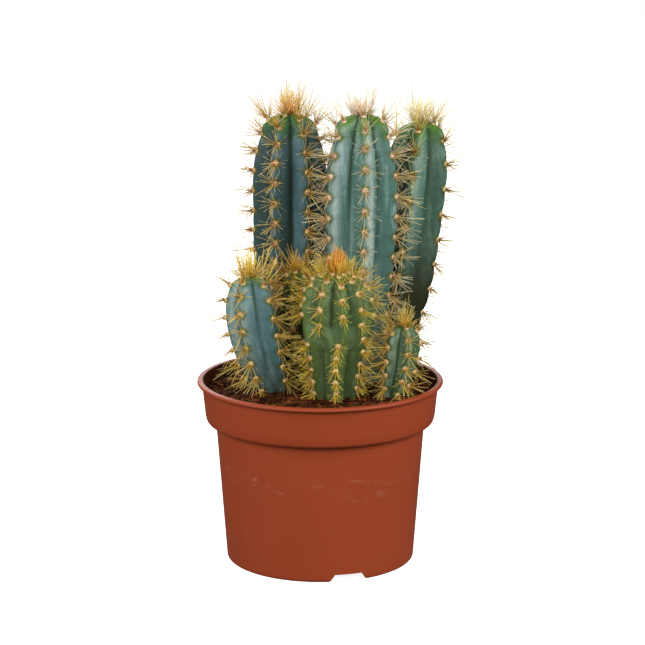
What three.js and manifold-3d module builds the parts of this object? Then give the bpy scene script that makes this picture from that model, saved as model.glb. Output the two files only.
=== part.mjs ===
// Potted group of young columnar cacti: a plastic nursery pot, its potting soil and seven ribbed stems.
// Millimetres, +Z up. The origin is the middle of the pot's foot, on the surface that the pot stands on.
// The front of the plant faces -Y. Bearings are degrees from the front, turning towards +X.
import * as THREE from 'three';
import { mergeVertices } from 'three/addons/utils/BufferGeometryUtils.js';
import Module from 'manifold-3d';

const wasm = await Module();
wasm.setup();

// ---- driving dimensions ----
const GAP = 0.3; // clearance left between pieces that touch
const SIDES = 48; // facets around the pot and the soil

const POT = {
  height: 127,
  rimRadius: 85, // outside of the rolled lip
  bandTopRadius: 82, // outside of the band, under the lip
  bandFootRadius: 79,
  bandFoot: 97.5, // height at which the band meets the body
  bodyTopRadius: 72.3,
  bodyFootRadius: 65,
  footRadius: 63, // flat ring that the pot stands on
  wall: 1.4,
  floorUnderside: 5.8,
  floorThickness: 1.5,
  skirtInnerRadius: 60.5,
};
const NOTCH = { count: 3, firstBearing: 17.5, footWidth: 26.5, topWidth: 19.5, height: 5.4 };
const DRAIN = { count: 8, radius: 4, ringRadius: 46 };

const SOIL = { crownHeight: 121.3, wallHeight: 119.5, floorGap: GAP };

// One entry for each stem. foot is the axis at soil level and crown the top of the flesh.
// The flesh swells from the collar radius at the soil to the full radius at fullHeight,
// and the dome is the length over which it closes at the top. bow bends the axis outward.
const SOIL_LEVEL = 120.5;
const BURIED = 22;
const STEMS = [
  {
    name: 'stem_back_left', ribs: 7, firstRib: -73.6, colour: 0x3f6468, tuftHeight: 13,
    foot: [-21, 42], crown: [-21.4, 43, 306], bow: 0,
    collarRadius: 21, fullRadius: 26.2, fullHeight: 200, dome: 46,
  },
  {
    name: 'stem_back_middle', ribs: 6, firstRib: -54, colour: 0x4d7f7c, tuftHeight: 10,
    foot: [24, 18], crown: [28.8, 21, 309], bow: 0.1,
    collarRadius: 19.5, fullRadius: 27, fullHeight: 245, dome: 60,
  },
  {
    name: 'stem_back_right', ribs: 5, firstRib: -82, colour: 0x47706a, tuftHeight: 17,
    foot: [46.8, 42], crown: [71.4, 60, 298], bow: 0.07,
    collarRadius: 14.5, fullRadius: 23.8, fullHeight: 195, dome: 42,
  },
  {
    name: 'stem_front_left', ribs: 5, firstRib: -97, colour: 0x4e7f84, tuftHeight: 18,
    foot: [-33, -6], crown: [-48, -8, 200.5], bow: 0.2,
    collarRadius: 13, fullRadius: 19.4, fullHeight: 146, dome: 29,
  },
  {
    name: 'stem_front_middle', ribs: 10, colour: 0x4c7150, tuftHeight: 14,
    // pairs of ribs that join into one on the way down
    crownRibs: [-71, -29, 8, 40, 75, 111, 147, 183, 219, 255],
    footRibs: [-57, -6, 3, 54, 105, 152, 161, 207, 250, 259],
    foot: [11.5, -25.5], crown: [11.3, -25.5, 207], bow: 0,
    collarRadius: 14.5, fullRadius: 24.4, fullHeight: 175, dome: 23,
  },
  {
    name: 'stem_front_right', ribs: 5, firstRib: -53.5, colour: 0x4a7264, tuftHeight: 13,
    foot: [49.5, -24], crown: [56.6, -24, 170], bow: 0.2,
    collarRadius: 7, fullRadius: 12.3, fullHeight: 148, dome: 13,
  },
  {
    name: 'stem_inner_short', ribs: 6, firstRib: -20, colour: 0x4f7a62, tuftHeight: 11,
    foot: [-13.5, 6.5], crown: [-15.5, 6, 202], bow: 0,
    collarRadius: 7, fullRadius: 11.5, fullHeight: 160, dome: 14,
  },
];
const FURROW_DEPTH = 0.3; // of the crest radius
const POINTS_PER_RIB = 4;
const BODY_RING_STEP = 20; // height between two sections of a stem
const DOME_ANGLES = [25, 43, 58, 71]; // degrees up the dome at which it is sectioned
const TUFT_WIDTH = 0.2; // of the full radius: the brush of young spines on the growing tip

// ---- helpers ----
const radians = THREE.MathUtils.degToRad;

function onlyPositions(geometry) {
  geometry.deleteAttribute('normal');
  geometry.deleteAttribute('uv');
  return mergeVertices(geometry, 1e-4);
}

function toSolid(geometry) {
  const merged = onlyPositions(geometry.clone());
  return new wasm.Manifold(new wasm.Mesh({
    numProp: 3,
    vertProperties: new Float32Array(merged.attributes.position.array),
    triVerts: new Uint32Array(merged.index.array),
  }));
}

function toGeometry(solid) {
  const mesh = solid.getMesh();
  const geometry = new THREE.BufferGeometry();
  geometry.setAttribute('position', new THREE.BufferAttribute(mesh.vertProperties, 3));
  geometry.setIndex(new THREE.BufferAttribute(mesh.triVerts, 1));
  return geometry;
}

// Turned shape: the profile is a list of [radius, height], from the axis round and back to it.
function turned(profile) {
  const points = profile.map(([radius, height]) => new THREE.Vector2(radius, height));
  return onlyPositions(new THREE.LatheGeometry(points, SIDES).rotateX(Math.PI / 2));
}

function named(name, geometry, colour, roughness) {
  geometry.computeVertexNormals();
  const mesh = new THREE.Mesh(geometry, new THREE.MeshStandardMaterial({ color: colour, roughness }));
  mesh.name = name;
  return mesh;
}

// ---- pot ----
function innerRadius(height) {
  const rise = (height - POT.floorUnderside) / (POT.bandFoot - POT.floorUnderside);
  return THREE.MathUtils.lerp(POT.bodyFootRadius, POT.bodyTopRadius, rise) - POT.wall;
}

function potProfile() {
  const floorTop = POT.floorUnderside + POT.floorThickness;
  const lipFoot = POT.height - 3;
  const outside = [
    [0, POT.floorUnderside],
    [POT.skirtInnerRadius, POT.floorUnderside],
    [POT.skirtInnerRadius, 0],
    [POT.footRadius, 0],
    [POT.bodyFootRadius - 0.8, 0.9],
    [POT.bodyFootRadius, 3],
    [POT.bodyTopRadius, POT.bandFoot],
    [POT.bandFootRadius - 3, POT.bandFoot + 0.3],
    [POT.bandFootRadius - 1, POT.bandFoot + 1.6],
    [POT.bandFootRadius, POT.bandFoot + 4],
    [POT.bandTopRadius, lipFoot],
  ];
  const lip = [
    [POT.rimRadius - 0.6, lipFoot + 0.3],
    [POT.rimRadius, lipFoot + 1.2],
    [POT.rimRadius, POT.height - 0.8],
    [POT.rimRadius - 0.8, POT.height],
    [POT.bandTopRadius - POT.wall + 0.4, POT.height],
    [POT.bandTopRadius - POT.wall, POT.height - 0.6],
  ];
  const inside = [
    [POT.bandFootRadius - POT.wall, POT.bandFoot + 5],
    [POT.bandFootRadius - POT.wall - 1.6, POT.bandFoot + 2.4],
    [innerRadius(POT.bandFoot) + 0.4, POT.bandFoot + 1.4],
    [innerRadius(POT.bandFoot), POT.bandFoot - 1],
    [innerRadius(floorTop) + 0.1, floorTop + 2],
    [innerRadius(floorTop) - 2, floorTop],
    [0, floorTop],
  ];
  return [...outside, ...lip, ...inside];
}

// Drainage notches let water out from under the pot through its foot ring.
function notchCutter(bearing) {
  const { footWidth, topWidth, height } = NOTCH;
  const below = 1;
  const flare = ((footWidth - topWidth) / 2) * (below / height);
  const outline = new THREE.Shape([
    new THREE.Vector2(-footWidth / 2 - flare, -below),
    new THREE.Vector2(footWidth / 2 + flare, -below),
    new THREE.Vector2(topWidth / 2, height),
    new THREE.Vector2(-topWidth / 2, height),
  ]);
  const depth = 14;
  return new THREE.ExtrudeGeometry(outline, { depth, bevelEnabled: false })
    .rotateX(Math.PI / 2)
    .translate(0, -POT.skirtInnerRadius + 6, 0)
    .rotateZ(radians(bearing));
}

function drainCutter(bearing) {
  return new THREE.CylinderGeometry(DRAIN.radius, DRAIN.radius, 8, 14)
    .rotateX(Math.PI / 2)
    .translate(0, -DRAIN.ringRadius, POT.floorUnderside)
    .rotateZ(radians(bearing));
}

function makePot() {
  let pot = toSolid(turned(potProfile()));
  for (let i = 0; i < NOTCH.count; i += 1) {
    pot = pot.subtract(toSolid(notchCutter(NOTCH.firstBearing + (360 * i) / NOTCH.count)));
  }
  for (let i = 0; i < DRAIN.count; i += 1) {
    pot = pot.subtract(toSolid(drainCutter((360 * i) / DRAIN.count)));
  }
  return named('pot', toGeometry(pot), 0x964328, 0.5);
}

// ---- stems ----
// Bearing of each rib at a height given as a share of the way from the soil to the crown.
function ribBearings(stem, share) {
  if (stem.footRibs) {
    const joined = THREE.MathUtils.smoothstep(share, 0.3, 0.55);
    return stem.footRibs.map((bearing, i) => THREE.MathUtils.lerp(bearing, stem.crownRibs[i], joined));
  }
  return Array.from({ length: stem.ribs }, (_, i) => stem.firstRib + (360 * i) / stem.ribs);
}

function axisPoint(stem, height) {
  const [crownX, crownY, crownHeight] = stem.crown;
  const share = THREE.MathUtils.clamp((height - SOIL_LEVEL) / (crownHeight - SOIL_LEVEL), 0, 1);
  const way = share + stem.bow * Math.sin(Math.PI * share);
  return {
    share,
    x: THREE.MathUtils.lerp(stem.foot[0], crownX, way),
    y: THREE.MathUtils.lerp(stem.foot[1], crownY, way),
  };
}

function swollenRadius(stem, height) {
  const swell = THREE.MathUtils.smoothstep(height, SOIL_LEVEL, stem.fullHeight);
  return THREE.MathUtils.lerp(stem.collarRadius, stem.fullRadius, swell);
}

// Sections of a stem from the bottom up: buried stump, body, dome and the brush at the tip.
function stemSections(stem) {
  const crownHeight = stem.crown[2];
  const shoulder = crownHeight - stem.dome;
  const sections = [];
  const add = (height, radius, furrow) => {
    sections.push({ ...axisPoint(stem, height), height, radius, furrow });
  };
  add(SOIL_LEVEL - BURIED, stem.collarRadius * 0.35, 0.05);
  add(SOIL_LEVEL - BURIED + 4, stem.collarRadius * 0.75, 0.1);
  add(SOIL_LEVEL - 3, stem.collarRadius, FURROW_DEPTH);
  const steps = Math.max(2, Math.round((shoulder - SOIL_LEVEL) / BODY_RING_STEP));
  for (let i = 1; i <= steps; i += 1) {
    const height = THREE.MathUtils.lerp(SOIL_LEVEL, shoulder, i / steps);
    add(height, swollenRadius(stem, height), FURROW_DEPTH);
  }
  for (const angle of DOME_ANGLES) {
    const height = shoulder + stem.dome * Math.sin(radians(angle));
    add(height, swollenRadius(stem, height) * Math.cos(radians(angle)), FURROW_DEPTH);
  }
  add(crownHeight, stem.fullRadius * TUFT_WIDTH, 0.1);
  add(crownHeight + stem.tuftHeight * 0.5, stem.fullRadius * TUFT_WIDTH * 0.9, 0.1);
  add(crownHeight + stem.tuftHeight, stem.fullRadius * TUFT_WIDTH * 0.3, 0.1);
  return sections;
}

// The outline of one section: round crests with a narrow furrow between each two ribs.
function sectionPoints(stem, section) {
  const bearings = ribBearings(stem, section.share);
  const evenStep = 360 / stem.ribs;
  return bearings.flatMap((bearing, i) => {
    const next = i + 1 < bearings.length ? bearings[i + 1] : bearings[0] + 360;
    const step = next - bearing;
    const depth = section.furrow * Math.min(1, step / evenStep);
    return Array.from({ length: POINTS_PER_RIB }, (_, k) => {
      const across = k / POINTS_PER_RIB;
      const angle = radians(bearing + step * across);
      const reach = section.radius * (1 - depth * (1 - Math.abs(Math.cos(Math.PI * across))));
      return [section.x + reach * Math.sin(angle), section.y - reach * Math.cos(angle), section.height];
    });
  });
}

// Skins a stack of sections that all have the same number of points, and closes both ends.
function skinned(stem, sections) {
  const around = stem.ribs * POINTS_PER_RIB;
  const positions = sections.flatMap((section) => sectionPoints(stem, section).flat());
  const first = sections[0];
  const last = sections[sections.length - 1];
  const footPoint = positions.push(first.x, first.y, first.height) / 3 - 1;
  const tipPoint = positions.push(last.x, last.y, last.height + 0.5) / 3 - 1;
  const index = [];
  for (let k = 0; k < around; k += 1) {
    const next = (k + 1) % around;
    index.push(footPoint, next, k);
    for (let ring = 0; ring + 1 < sections.length; ring += 1) {
      const low = ring * around;
      const high = low + around;
      index.push(low + k, low + next, high + next, low + k, high + next, high + k);
    }
    const top = (sections.length - 1) * around;
    index.push(tipPoint, top + k, top + next);
  }
  const geometry = new THREE.BufferGeometry();
  geometry.setAttribute('position', new THREE.Float32BufferAttribute(positions, 3));
  geometry.setIndex(index);
  return geometry;
}

function makeStem(stem) {
  return named(stem.name, skinned(stem, stemSections(stem)), stem.colour, 0.6);
}

// The hole that a stem fills in the soil: its own outline with clearance, open at the top.
function socketCutter(stem) {
  const clearance = 2 * GAP;
  const cut = stemSections(stem).slice(0, 4).map((section) => ({
    ...section,
    radius: section.radius + clearance,
  }));
  cut[0].height -= GAP;
  cut[1].height -= GAP;
  return skinned(stem, cut);
}

// ---- potting soil ----
function makeSoil() {
  const bottom = POT.floorUnderside + POT.floorThickness + SOIL.floorGap;
  const ledge = POT.bandFoot + 5;
  const bandRadius = POT.bandFootRadius - POT.wall - 2 * GAP;
  const topRadius = bandRadius + (POT.bandTopRadius - POT.bandFootRadius) * 0.8;
  let soil = toSolid(turned([
    [0, bottom],
    [innerRadius(bottom) - 3, bottom],
    [innerRadius(bottom) - 2 * GAP, bottom + 3],
    [innerRadius(POT.bandFoot) - 2 * GAP, POT.bandFoot],
    [innerRadius(POT.bandFoot) - GAP, ledge - 2],
    [bandRadius - 2, ledge],
    [bandRadius, ledge + 1],
    [topRadius, SOIL.wallHeight - 0.6],
    [topRadius - 2, SOIL.wallHeight],
    [POT.rimRadius * 0.55, (SOIL.wallHeight + SOIL.crownHeight) / 2 + 0.4],
    [0, SOIL.crownHeight],
  ]));
  for (const stem of STEMS) {
    soil = soil.subtract(toSolid(socketCutter(stem)));
  }
  return named('potting_soil', toGeometry(soil), 0x46281a, 0.95);
}

// ---- the whole object ----
const plant = new THREE.Group();
plant.name = 'potted_cactus';
plant.add(makePot(), makeSoil(), ...STEMS.map(makeStem));

export default plant;
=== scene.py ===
"""A group of young columnar cacti in a plastic nursery pot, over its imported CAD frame. Metres, +Z up."""
import math
import random

import bpy
import numpy as np
from mathutils import Matrix, Vector, noise


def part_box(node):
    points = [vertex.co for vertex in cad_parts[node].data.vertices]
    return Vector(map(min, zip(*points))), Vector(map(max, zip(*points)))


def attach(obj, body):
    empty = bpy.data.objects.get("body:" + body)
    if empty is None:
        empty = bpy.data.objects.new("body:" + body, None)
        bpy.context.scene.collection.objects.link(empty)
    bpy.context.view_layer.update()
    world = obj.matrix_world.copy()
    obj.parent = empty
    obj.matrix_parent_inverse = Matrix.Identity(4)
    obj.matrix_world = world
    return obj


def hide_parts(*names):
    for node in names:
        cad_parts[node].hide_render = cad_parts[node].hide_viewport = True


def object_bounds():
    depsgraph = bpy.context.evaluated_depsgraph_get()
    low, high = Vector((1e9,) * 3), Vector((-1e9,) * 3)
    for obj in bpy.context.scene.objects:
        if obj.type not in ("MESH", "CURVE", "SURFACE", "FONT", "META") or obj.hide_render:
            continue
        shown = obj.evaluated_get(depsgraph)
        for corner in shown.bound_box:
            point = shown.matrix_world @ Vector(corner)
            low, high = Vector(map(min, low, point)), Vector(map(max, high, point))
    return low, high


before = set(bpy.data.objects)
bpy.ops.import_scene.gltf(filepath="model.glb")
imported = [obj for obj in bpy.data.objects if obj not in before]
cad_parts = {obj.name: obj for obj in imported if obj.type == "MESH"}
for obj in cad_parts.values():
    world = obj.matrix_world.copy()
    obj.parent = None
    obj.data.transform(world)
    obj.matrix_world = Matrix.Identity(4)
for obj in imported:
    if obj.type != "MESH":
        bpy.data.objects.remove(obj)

cad_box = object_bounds()

# ---------------------------------------------------------------- pot
# A thin injection-moulded polypropylene nursery pot: rolled lip, deep band, tapered body, a foot ring
# broken by three drainage notches, and a raised floor with drain holes. It is one moulding, so it is drawn
# out of one ring, wall by wall, and the notches and holes are then cut through it.
MM = 0.001
pot_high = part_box("pot")[1]
rim_radius = pot_high.x
pot_height = pot_high.z
POT_SIDES = 192
WALL = 1.4 * MM
BAND_FOOT = 97.5 * MM         # height at which the band meets the body
BAND_FOOT_RADIUS = rim_radius - 6 * MM
BAND_TOP_RADIUS = rim_radius - 3 * MM
BODY_TOP_RADIUS = 72.3 * MM
BODY_FOOT_RADIUS = 65 * MM
FOOT_RING = (60.5 * MM, 63 * MM)
FLOOR_UNDERSIDE = 5.8 * MM
FLOOR_TOP = 7.3 * MM
NOTCH_BEARINGS = (17.5, 137.5, 257.5)
NOTCH_HEIGHT = 5.4 * MM
NOTCH_FOOT_WIDTH = 26.5 * MM
NOTCH_TOP_WIDTH = 19.5 * MM
CUTTER_DEPTH = 14 * MM
CUTTER_HEIGHT = 10 * MM
DRAIN_COUNT = 8
DRAIN_RADIUS = 4 * MM
DRAIN_RING_RADIUS = 46 * MM


def nothing_selected():
    if bpy.context.object and bpy.context.object.mode != "OBJECT":
        bpy.ops.object.mode_set(mode="OBJECT")
    bpy.ops.object.select_all(action="DESELECT")


def only(piece):
    """Selects one object and makes it the active one."""
    nothing_selected()
    piece.select_set(True)
    bpy.context.view_layer.objects.active = piece


def apply_modifier(piece, kind, **settings):
    only(piece)
    modifier = piece.modifiers.new(kind.lower(), kind)
    for name, value in settings.items():
        setattr(modifier, name, value)
    bpy.ops.object.modifier_apply(modifier=modifier.name)


def rounded(centre_radius, centre_height, size, start, end, steps):
    """Points of a rounded corner of the wall, as (radius, height), from one angle to another in degrees."""
    angles = [math.radians(start + (end - start) * i / steps) for i in range(steps + 1)]
    return [(centre_radius + size * math.cos(a), centre_height + size * math.sin(a)) for a in angles]


def body_radius(height):
    return BODY_FOOT_RADIUS + (BODY_TOP_RADIUS - BODY_FOOT_RADIUS) * height / BAND_FOOT


def band_radius(height):
    rise = (height - BAND_FOOT) / (pot_height - BAND_FOOT)
    return BAND_FOOT_RADIUS + (BAND_TOP_RADIUS - BAND_FOOT_RADIUS) * rise


def straight(radius_at, low, high, steps, inset=0.0):
    heights = [low + (high - low) * i / steps for i in range(steps + 1)]
    return [(radius_at(h) - inset, h) for h in heights]


lip_low = pot_height - 2.9 * MM
pot_wall = (
    [(30 * MM, FLOOR_UNDERSIDE), (FOOT_RING[0], FLOOR_UNDERSIDE), (FOOT_RING[0], 0.0), (FOOT_RING[1], 0.0)]
    + rounded(FOOT_RING[1], 2.1 * MM, 2.1 * MM, -70, 0, 4)
    + straight(body_radius, 4 * MM, BAND_FOOT - 0.8 * MM, 24)
    + rounded(BODY_TOP_RADIUS + 0.8 * MM, BAND_FOOT - 0.7 * MM, 0.8 * MM, 170, 90, 3)
    + rounded(BAND_FOOT_RADIUS - 3.4 * MM, BAND_FOOT + 3.6 * MM, 3.5 * MM, -86, 0, 7)
    + straight(band_radius, BAND_FOOT + 5 * MM, lip_low - 0.9 * MM, 8)
    + rounded(BAND_TOP_RADIUS + 0.7 * MM, lip_low - 0.5 * MM, 0.7 * MM, 180, 90, 3)
    + rounded(rim_radius - 1.45 * MM, pot_height - 1.45 * MM, 1.45 * MM, -60, 90, 9)
    + rounded(BAND_TOP_RADIUS - 0.5 * MM, pot_height - 0.9 * MM, 0.9 * MM, 90, 180, 5)
    + straight(band_radius, lip_low - 1 * MM, BAND_FOOT + 5 * MM, 6, WALL)
    + rounded(BAND_FOOT_RADIUS - WALL - 2.4 * MM, BAND_FOOT + 3.8 * MM, 2.4 * MM, 0, -90, 4)
    + [(BODY_TOP_RADIUS - WALL + 0.4 * MM, BAND_FOOT + 1.2 * MM)]
    + straight(body_radius, BAND_FOOT - 1 * MM, FLOOR_TOP + 3 * MM, 6, WALL)
    + [(body_radius(0) - WALL - 2 * MM, FLOOR_TOP), (30 * MM, FLOOR_TOP)]
)

nothing_selected()
first_radius, first_height = pot_wall[0]
bpy.ops.mesh.primitive_circle_add(
    vertices=POT_SIDES, radius=first_radius, fill_type="NGON", location=(0, 0, first_height))
pot = bpy.context.object
pot.name = "nursery_pot"
bpy.ops.object.mode_set(mode="EDIT")
bpy.ops.mesh.select_mode(type="EDGE")
bpy.ops.mesh.region_to_loop()
for (radius, height), (next_radius, next_height) in zip(pot_wall, pot_wall[1:]):
    bpy.ops.mesh.extrude_region_move(
        TRANSFORM_OT_translate={"value": (0, 0, next_height - height)})
    bpy.ops.transform.resize(value=(next_radius / radius, next_radius / radius, 1))
bpy.ops.mesh.edge_face_add()
bpy.ops.mesh.select_all(action="SELECT")
bpy.ops.mesh.normals_make_consistent(inside=False)
bpy.ops.object.mode_set(mode="OBJECT")
bpy.ops.object.transform_apply(location=True, rotation=True, scale=True)

cutters = []
for bearing in NOTCH_BEARINGS:
    nothing_selected()
    bpy.ops.mesh.primitive_cube_add(size=1, location=(0, -FOOT_RING[1], NOTCH_HEIGHT - CUTTER_HEIGHT / 2))
    notch = bpy.context.object
    bpy.ops.transform.resize(value=(NOTCH_TOP_WIDTH, CUTTER_DEPTH, CUTTER_HEIGHT))
    bpy.ops.object.transform_apply(location=True, rotation=True, scale=True)
    splay = 1 + (NOTCH_FOOT_WIDTH / NOTCH_TOP_WIDTH - 1) * CUTTER_HEIGHT / NOTCH_HEIGHT
    for vertex in notch.data.vertices:
        if vertex.co.z < 0:
            vertex.co.x *= splay
    notch.data.transform(Matrix.Rotation(math.radians(bearing), 4, "Z"))
    cutters.append(notch)
for i in range(DRAIN_COUNT):
    turn = math.tau * i / DRAIN_COUNT
    nothing_selected()
    bpy.ops.mesh.primitive_cylinder_add(
        vertices=32, radius=DRAIN_RADIUS, depth=6 * MM,
        location=(DRAIN_RING_RADIUS * math.sin(turn), -DRAIN_RING_RADIUS * math.cos(turn), FLOOR_UNDERSIDE))
    bpy.ops.object.transform_apply(location=True, rotation=True, scale=True)
    cutters.append(bpy.context.object)
nothing_selected()
for cutter in cutters:
    cutter.select_set(True)
bpy.context.view_layer.objects.active = cutters[0]
bpy.ops.object.join()
apply_modifier(pot, "BOOLEAN", operation="DIFFERENCE", object=cutters[0], solver="EXACT")
bpy.data.objects.remove(cutters[0])
only(pot)
bpy.ops.object.shade_smooth_by_angle(angle=math.radians(32))


def linear(hex_colour):
    """A hex sRGB colour as linear red, green, blue and alpha."""
    channels = [int(hex_colour[i:i + 2], 16) / 255 for i in (1, 3, 5)]
    return tuple(c / 12.92 if c <= 0.04045 else ((c + 0.055) / 1.055) ** 2.4 for c in channels) + (1.0,)


def add_node(material, kind, inputs=None, **settings):
    """Adds one shader node. An input is given a value, or another node's output to be linked."""
    node = material.node_tree.nodes.new(kind)
    for name, value in settings.items():
        setattr(node, name, value)
    for socket, value in (inputs or {}).items():
        if isinstance(value, bpy.types.NodeSocket):
            material.node_tree.links.new(value, node.inputs[socket])
        else:
            node.inputs[socket].default_value = value
    return node


def new_material(name):
    material = bpy.data.materials.new(name)
    material.use_nodes = True
    return material, material.node_tree.nodes["Principled BSDF"]


# Moulded polypropylene in terracotta: a satin skin, finely grained by the tool, so highlights are broad.
# Stacked pots rub pale marks on each other at one height, and specks of peat cling to the inside wall, which
# is also darkened all over as painted shade.
RUB_HEIGHT = 66 * MM
RUB_BAND = 18 * MM
inner_wall = pot.data.color_attributes.new("inner_wall", "FLOAT_COLOR", "CORNER")
for face in pot.data.polygons:
    inward = face.normal.x * face.center.x + face.normal.y * face.center.y < 0 and face.center.z > FLOOR_TOP
    for loop in face.loop_indices:
        inner_wall.data[loop].color = (inward, inward, inward, 1)
polypropylene, shader = new_material("moulded_terracotta_polypropylene")
place = add_node(polypropylene, "ShaderNodeTexCoord").outputs["Object"]
clouding = add_node(polypropylene, "ShaderNodeTexNoise", {
    "Vector": place, "Scale": 1 / (45 * MM), "Detail": 3.0})
flattened = add_node(polypropylene, "ShaderNodeMapping", {"Vector": place, "Scale": (1.0, 1.0, 2.6)})
rubbed = add_node(polypropylene, "ShaderNodeTexNoise", {
    "Vector": flattened.outputs[0], "Scale": 1 / (16 * MM), "Detail": 6.0, "Roughness": 0.72})
height = add_node(polypropylene, "ShaderNodeSeparateXYZ", {0: place}).outputs[2]
rub_line = add_node(polypropylene, "ShaderNodeMath", {
    0: height, 1: RUB_HEIGHT, 2: RUB_BAND / 2}, operation="COMPARE")
rubbed_edge = add_node(polypropylene, "ShaderNodeMapRange", {
    "Value": rub_line.outputs[0], "To Min": 0.7, "To Max": 0.56})
rubbed_mask = add_node(polypropylene, "ShaderNodeMapRange", {
    "Value": rubbed.outputs["Fac"], "From Min": rubbed_edge.outputs[0], "From Max": 0.85, "To Max": 0.6})
specks = add_node(polypropylene, "ShaderNodeTexVoronoi", {"Vector": place, "Scale": 1 / (15 * MM)})
speck_mask = add_node(polypropylene, "ShaderNodeMapRange", {
    "Value": specks.outputs["Distance"], "From Min": 0.05, "From Max": 0.03, "To Max": 0.5})
tone = add_node(polypropylene, "ShaderNodeMix", {
    0: clouding.outputs["Fac"], 6: linear("#953d1e"), 7: linear("#9d4222")}, data_type="RGBA")
tone = add_node(polypropylene, "ShaderNodeMix", {
    0: rubbed_mask.outputs[0], 6: tone.outputs[2], 7: linear("#c08a72")}, data_type="RGBA")
tone = add_node(polypropylene, "ShaderNodeMix", {
    0: speck_mask.outputs[0], 6: tone.outputs[2], 7: linear("#54281a")}, data_type="RGBA")
inside = add_node(polypropylene, "ShaderNodeVertexColor", layer_name="inner_wall").outputs["Color"]
grain = add_node(polypropylene, "ShaderNodeTexNoise", {
    "Vector": place, "Scale": 1 / (0.9 * MM), "Detail": 2.0})
dust = add_node(polypropylene, "ShaderNodeTexNoise", {"Vector": place, "Scale": 1 / (4 * MM), "Detail": 8.0})
# painted shade over the whole inside wall, darker still in peat specks where the noise is high
dust_and_shade_amount = add_node(polypropylene, "ShaderNodeMapRange", {
    "Value": dust.outputs["Fac"], "From Min": 0.35, "From Max": 0.6, "To Min": 0.45, "To Max": 0.95})
dust_and_shade_mask = add_node(polypropylene, "ShaderNodeMath", {
    0: inside, 1: dust_and_shade_amount.outputs[0]}, operation="MULTIPLY")
tone = add_node(polypropylene, "ShaderNodeMix", {
    0: dust_and_shade_mask.outputs[0], 6: tone.outputs[2], 7: linear("#3a1a0c")}, data_type="RGBA")
grain_bump = add_node(polypropylene, "ShaderNodeBump", {
    "Height": grain.outputs["Fac"], "Strength": 0.25, "Distance": 0.06 * MM})
satin = add_node(polypropylene, "ShaderNodeMapRange", {
    "Value": rubbed.outputs["Fac"], "To Min": 0.42, "To Max": 0.58})
polypropylene.node_tree.links.new(tone.outputs[2], shader.inputs["Base Color"])
polypropylene.node_tree.links.new(satin.outputs[0], shader.inputs["Roughness"])
polypropylene.node_tree.links.new(grain_bump.outputs[0], shader.inputs["Normal"])
shader.inputs["IOR"].default_value = 1.49
shader.inputs["Specular IOR Level"].default_value = 0.3
pot.data.materials.append(polypropylene)
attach(pot, "root")
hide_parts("pot")

# ---------------------------------------------------------------- stems
# Seven separate plants, each a ribbed column of water-filled flesh in a waxy skin. Each is a sheet of skin
# rolled into a tube along its CAD stem's axis, pushed out to the ribs, notched where a spine cushion sits,
# and closed over the growing tip.

# ribs: the bearing of each rib in degrees from the front. foot_ribs: the same at the foot, where ribs join on
# the way down, and merging, the ones that then bear no cushions. start: where each rib's row of cushions
# starts, in spacings from the tip. spacing: between cushions in mm, at the tip, a quarter of the way down and
# at the foot. notch: depth in mm of the dent at a cushion. shoulder: how much fuller the crown is than the
# CAD dome. furrow: the furrows' depth, where it is not FURROW_DEPTH.
STEMS = [
    {"node": "stem_back_left", "ribs": [-73.6 + 360 / 7 * i for i in range(7)],
     "start": [0.15, 0.6, 0.05, 0.5, 0.2, 0.7, 0.35], "spacing": (11, 14.0, 12.9), "notch": 0.5,
     "shoulder": 0.3},
    {"node": "stem_back_middle", "ribs": [-54 + 60 * i for i in range(6)],
     "start": [0.02, 0.56, 0.02, 0.5, 0.0, 0.5], "spacing": (12, 14.4, 12.5), "notch": 0.45,
     "shoulder": 0.38},
    {"node": "stem_back_right", "ribs": [-82 + 72 * i for i in range(5)],
     "start": [0.3, 0.97, 0.58, 0.2, 0.7], "spacing": (14, 17.8, 16.0), "notch": 1.3, "shoulder": 0.3},
    {"node": "stem_front_left", "ribs": [-97 + 72 * i for i in range(5)],
     "start": [0.5, 0.0, 0.3, 0.8, 0.2], "spacing": (9, 12.4, 9.0), "notch": 0.45, "shoulder": 0.22},
    {"node": "stem_front_middle", "ribs": [-71, -29, 8, 40, 75, 111, 147, 183, 219, 255],
     "foot_ribs": [-57, -2, 0, 54, 105, 156, 158, 207, 254, 256], "merging": (1, 6, 9),
     "start": [0.3, 0.75, 0.15, 0.8, 0.4, 0.0, 0.5, 0.0, 0.5, 0.0], "spacing": (8, 11, 7), "notch": 0.4,
     "shoulder": 0.04, "furrow": 0.23},
    {"node": "stem_front_right", "ribs": [-53.5 + 72 * i for i in range(5)],
     "start": [0.3, 0.7, 0.2, 0.6, 0.0], "spacing": (8, 10.0, 9.5), "notch": 0.4, "shoulder": 0.08},
    {"node": "stem_inner_short", "ribs": [-20 + 60 * i for i in range(6)],
     "start": [0.5, 0.0, 0.5, 0.0, 0.5, 0.0], "spacing": (8, 11.0, 9.5), "notch": 0.4, "shoulder": 0.08},
]
FURROW_DEPTH = 0.3          # of the crest radius
CREST_ROUNDING = 0.2        # of the way from crest to furrow
FLANK_SWELL = 0.16          # of the furrow's depth, halfway down a flank
FORK_FADE = 2.9             # how far the furrows fade out where paired ribs part
SHOULDER_PLACE = 0.5        # where the crown is fullest, walked from the tip, in stem radii
SHOULDER_SPREAD = 0.36
CROWN_DEPTH = 1.3           # how far down from the tip the furrows are deeper, in stem radii
CROSS_LINE_DEPTH = 0.14 * MM
CUSHION_PITCH = 13 * MM     # the usual spacing along a rib
CUSHION_REACH = 10 * MM     # how far round a cushion the skin's colour can change
COLUMNS_PER_RIB = 20
ROW_STEP = 1.2 * MM
SOIL_LEVEL = 120.5 * MM
soil_radius = band_radius(119 * MM) - WALL - 0.4 * MM       # just inside the band at the soil's edge
FORK = (0.4, 0.62)          # share of the stem's height over which paired ribs part
CROWDED_WITHIN = 15 * MM    # nearer than this to another stem, the skin is darkened as painted shade
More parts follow.
